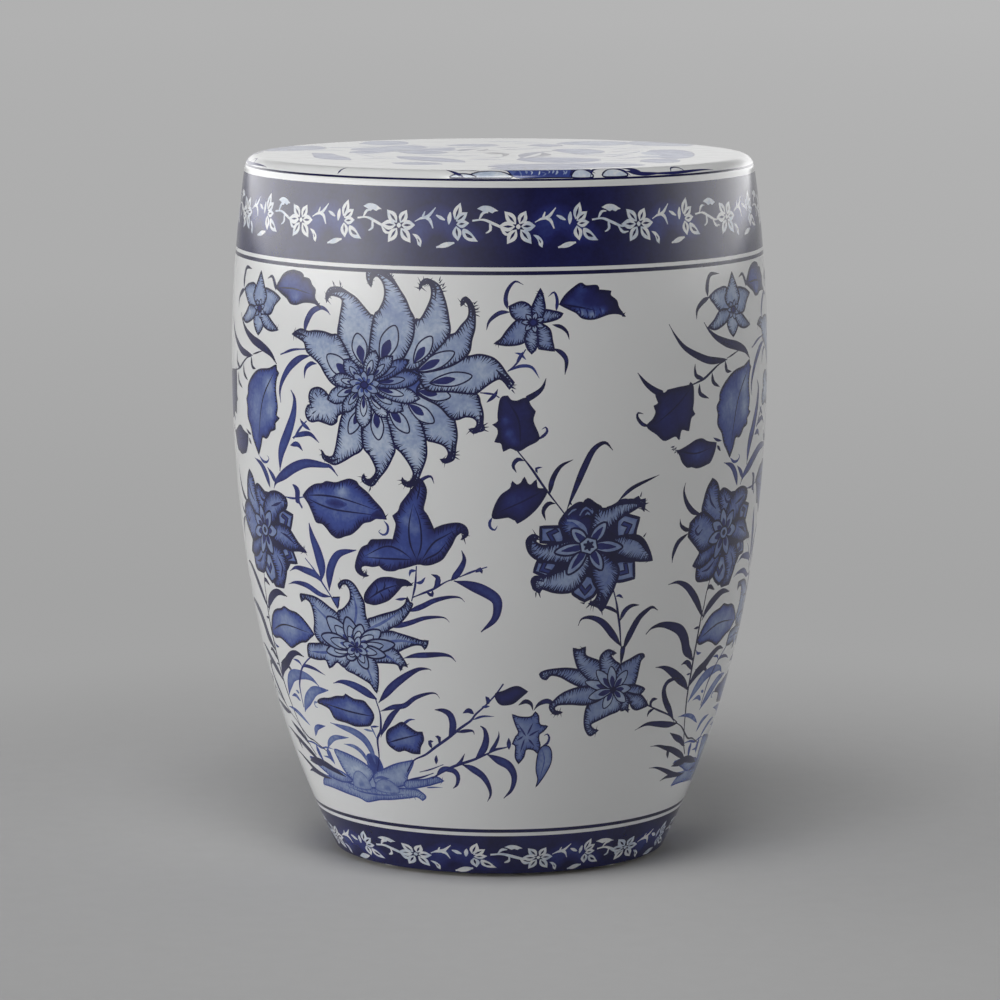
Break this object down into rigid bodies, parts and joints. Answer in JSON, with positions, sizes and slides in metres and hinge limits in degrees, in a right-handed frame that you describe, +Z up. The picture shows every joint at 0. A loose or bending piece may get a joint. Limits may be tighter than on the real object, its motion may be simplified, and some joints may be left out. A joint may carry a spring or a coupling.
{
  "type": "ceramic garden stool",
  "caption": "Hollow barrel-shaped glazed garden stool with a flat round seat, painted floral drum, dark patterned bands at rim and foot, and soft floor bumpers.",
  "frame": {"origin": "on the floor, at the stool's axis, between the four bumpers", "axes": "+Z up along the stool's axis; -Y faces the viewer of the picture; +X to the right"},
  "size_m": [0.3498, 0.3498, 0.457],
  "materials": {
    "fired_clay": "unglazed, matte",
    "white_glaze": "clear gloss glaze over white clay and underglaze print",
    "cobalt_glaze": "cobalt blue under clear gloss glaze",
    "bumper_rubber": "soft, satin"
  },
  "bodies": {
    "root": {"seat_slab": "fired_clay", "upper_wall": "fired_clay", "lower_wall": "fired_clay", "foot_ring": "fired_clay", "base_floor": "fired_clay", "seat_coil": "fired_clay", "seam_coil": "fired_clay", "floor_coil": "fired_clay", "seat_glaze": "white_glaze", "rim_line": "cobalt_glaze", "rim_stripe": "white_glaze", "upper_band": "cobalt_glaze", "upper_white_ring": "white_glaze", "upper_blue_ring": "cobalt_glaze", "body_glaze": "white_glaze", "lower_blue_ring": "cobalt_glaze", "lower_white_ring": "white_glaze", "lower_band": "cobalt_glaze", "floor_bumper_1": "bumper_rubber", "floor_bumper_2": "bumper_rubber", "floor_bumper_3": "bumper_rubber", "floor_bumper_4": "bumper_rubber"}
  },
  "joints": []
}
